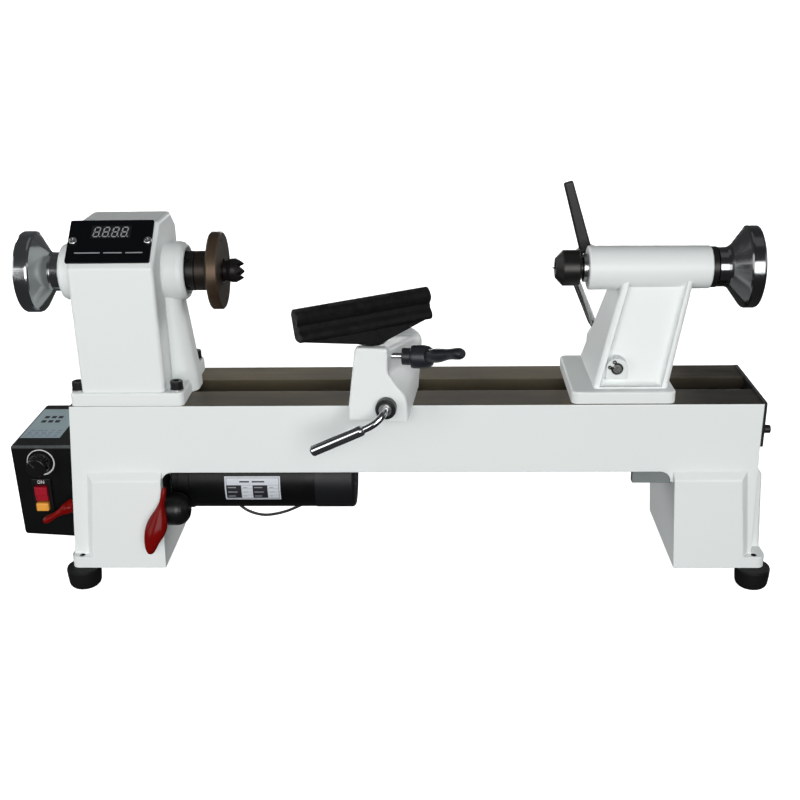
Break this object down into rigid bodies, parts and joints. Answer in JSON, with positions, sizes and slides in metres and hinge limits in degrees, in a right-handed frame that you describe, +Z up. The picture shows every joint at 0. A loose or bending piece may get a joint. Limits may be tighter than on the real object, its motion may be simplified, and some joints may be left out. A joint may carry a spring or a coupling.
{
  "type": "bench wood lathe",
  "caption": "Small variable-speed bench wood lathe: white cast bed on integral legs, belt headstock with display, sliding tool rest, tailstock with live centre, motor under the bed.",
  "frame": {"origin": "on the bench surface at the middle of the four bench-bolt holes, under the middle of the bed and under the spindle line", "axes": "+X along the bed from the headstock to the tailstock, +Y away from the operator, +Z up"},
  "size_m": [0.8106, 0.2234, 0.4165],
  "materials": {
    "white_enamel": "glossy stoved enamel on cast iron, faint casting texture, ways machined bare",
    "black_paint": "semi-gloss black",
    "motor_grey": "satin dark grey",
    "chrome": "bright turned and plated",
    "bright_steel": "turned",
    "quill_steel": "ground, darkened with oil",
    "dark_steel": "black oxide",
    "bronze": "dark brown turned bronze, dull",
    "black_cast": "satin black over a cast skin",
    "black_plastic": "matt",
    "red_plastic": "glossy",
    "rocker_red": "glossy, translucent",
    "key_orange": "satin",
    "board": "glass-epoxy board",
    "display": "smoked window with slanted grey figures",
    "rubber": "matt moulded",
    "belt": "ribbed",
    "lead_jacket": "soft black jacket"
  },
  "bodies": {
    "frame": {"bed": "white_enamel", "end_plate": "black_paint", "end_plate_screws": "dark_steel", "rubber_feet": "rubber", "headstock": "white_enamel", "display_plate": "black_paint", "display_module": "display", "display_screws": "chrome", "headstock_bolts": "dark_steel", "spindle_bearings": "bright_steel", "drive_belt": "belt", "leg_pivots": "bright_steel", "control_box": "black_paint", "control_box_cover": "black_paint", "control_board": "board", "speed_potentiometer": "black_plastic", "switch_housing": "black_plastic"},
    "belt_door": {"belt_door": "white_enamel"},
    "spindle": {"spindle": "bright_steel", "spindle_pulley": "bright_steel", "spindle_collar": "dark_steel", "faceplate": "bronze", "drive_center": "dark_steel", "headstock_handwheel": "chrome"},
    "motor": {"motor_bracket": "black_paint", "motor_can": "black_paint", "motor_end_cover": "motor_grey", "motor_lead": "lead_jacket"},
    "rotor": {"motor_armature": "bright_steel", "motor_pulley": "bright_steel"},
    "tension": {"tension_hub": "black_plastic", "tension_lever": "red_plastic"},
    "motor_lock": {"motor_lock_lever": "red_plastic"},
    "knob": {"speed_knob": "black_plastic"},
    "rocker": {"switch_rocker": "rocker_red"},
    "key": {"switch_key": "key_orange"},
    "rest_clamp": {"rest_clamp_plate": "dark_steel"},
    "rest_eye": {"rest_eye_bolt": "bright_steel"},
    "rest_base": {"rest_base": "white_enamel"},
    "rest_lever": {"rest_clamp_shaft": "bright_steel", "rest_lever_hub": "dark_steel", "rest_lever": "chrome"},
    "post_lock": {"post_lock_stud": "bright_steel", "post_lock_handle": "black_plastic"},
    "rest_post": {"rest_post": "bright_steel"},
    "tool_rest": {"tool_rest": "black_cast"},
    "tailstock": {"tailstock": "white_enamel", "tail_thrust_ring": "dark_steel", "tail_eye_bolt": "bright_steel", "tail_clamp_plate": "dark_steel"},
    "tail_lever": {"tail_clamp_shaft": "bright_steel", "tail_circlip": "dark_steel", "tail_lever_hub": "dark_steel", "tail_lever": "chrome"},
    "quill": {"quill": "quill_steel", "live_center_arbor": "dark_steel"},
    "live_center": {"live_center": "dark_steel"},
    "tail_wheel": {"tail_handwheel": "chrome", "tail_screw": "bright_steel"},
    "quill_lock": {"quill_lock_lever": "dark_steel"}
  },
  "joints": [
    {"name": "belt_door_hinge", "type": "hinge", "parent": "frame", "child": "belt_door", "pos_m": [-0.33, 0.061, 0.291], "axis": [0, 0, 1], "range_deg": [0, 110]},
    {"name": "spindle_turn", "type": "hinge", "parent": "frame", "child": "spindle", "pos_m": [-0.3, 0, 0.333], "axis": [1, 0, 0], "continuous": true},
    {"name": "motor_pivot", "type": "hinge", "parent": "frame", "child": "motor", "pos_m": [-0.259, 0.046, 0.102], "axis": [1, 0, 0], "range_deg": [-8, 0]},
    {"name": "rotor_turn", "type": "hinge", "parent": "motor", "child": "rotor", "pos_m": [-0.2, 0, 0.102], "axis": [1, 0, 0], "continuous": true},
    {"name": "tension_lever_turn", "type": "hinge", "parent": "frame", "child": "tension", "pos_m": [-0.255, -0.056, 0.087], "axis": [1, 0, 0], "range_deg": [-12, 0]},
    {"name": "motor_lock_turn", "type": "hinge", "parent": "frame", "child": "motor_lock", "pos_m": [-0.369, -0.052, 0.09], "axis": [1, 0, 0], "range_deg": [-40, 5]},
    {"name": "speed_knob_turn", "type": "hinge", "parent": "frame", "child": "knob", "pos_m": [-0.4015, -0.045, 0.1325], "axis": [0, 1, 0], "range_deg": [-120, 150]},
    {"name": "switch_rock", "type": "hinge", "parent": "frame", "child": "rocker", "pos_m": [-0.4034, -0.0377, 0.0925], "axis": [1, 0, 0], "range_deg": [-8, 0]},
    {"name": "switch_key_pull", "type": "slide", "parent": "frame", "child": "key", "axis": [0, -1, 0], "range_m": [0, 0.009]},
    {"name": "rest_travel", "type": "slide", "parent": "frame", "child": "rest_clamp", "axis": [1, 0, 0], "range_m": [-0.08, 0.09]},
    {"name": "rest_swing", "type": "hinge", "parent": "rest_clamp", "child": "rest_eye", "pos_m": [-0.0147, 0, 0.19], "axis": [0, 0, 1], "range_deg": [-6, 6]},
    {"name": "rest_reach", "type": "slide", "parent": "rest_eye", "child": "rest_base", "axis": [0.1045, 0.9945, 0], "range_m": [-0.025, 0.006]},
    {"name": "rest_lever_turn", "type": "hinge", "parent": "rest_base", "child": "rest_lever", "pos_m": [-0.0262, -0.1094, 0.222], "axis": [0.1045, 0.9945, 0], "range_deg": [0, 75]},
    {"name": "post_lock_turn", "type": "hinge", "parent": "rest_base", "child": "post_lock", "pos_m": [-0.00385, -0.08812, 0.2683], "axis": [0.9945, -0.1045, 0], "range_deg": [-10, 60]},
    {"name": "rest_lift", "type": "slide", "parent": "rest_base", "child": "rest_post", "axis": [0, 0, 1], "range_m": [0, 0.03]},
    {"name": "rest_swivel", "type": "hinge", "parent": "rest_post", "child": "tool_rest", "pos_m": [-0.03936, -0.08439, 0.29], "axis": [0, 0, 1], "range_deg": [-45, 10]},
    {"name": "tailstock_travel", "type": "slide", "parent": "frame", "child": "tailstock", "axis": [1, 0, 0], "range_m": [-0.015, 0.085]},
    {"name": "tail_lever_turn", "type": "hinge", "parent": "tailstock", "child": "tail_lever", "pos_m": [0.2063, 0.06, 0.2396], "axis": [0, 1, 0], "range_deg": [0, 75]},
    {"name": "tail_wheel_turn", "type": "hinge", "parent": "tailstock", "child": "tail_wheel", "pos_m": [0.32, 0, 0.333], "axis": [-1, 0, 0], "range_deg": [0, 6000]},
    {"name": "quill_feed", "type": "slide", "parent": "tailstock", "child": "quill", "axis": [-1, 0, 0], "range_m": [0, 0.05]},
    {"name": "live_center_turn", "type": "hinge", "parent": "quill", "child": "live_center", "pos_m": [0.16, 0, 0.333], "axis": [1, 0, 0], "continuous": true},
    {"name": "quill_lock_turn", "type": "hinge", "parent": "tailstock", "child": "quill_lock", "pos_m": [0.183, 0.03, 0.333], "axis": [0, 1, 0], "range_deg": [-10, 45]}
  ],
  "couplings": [
    {"joint": "rotor_turn", "follows": "spindle_turn", "ratio": 2},
    {"joint": "tension_lever_turn", "follows": "motor_pivot", "ratio": 1.5},
    {"joint": "quill_feed", "follows": "tail_wheel_turn", "m_per_rad": 0.00047746}
  ]
}
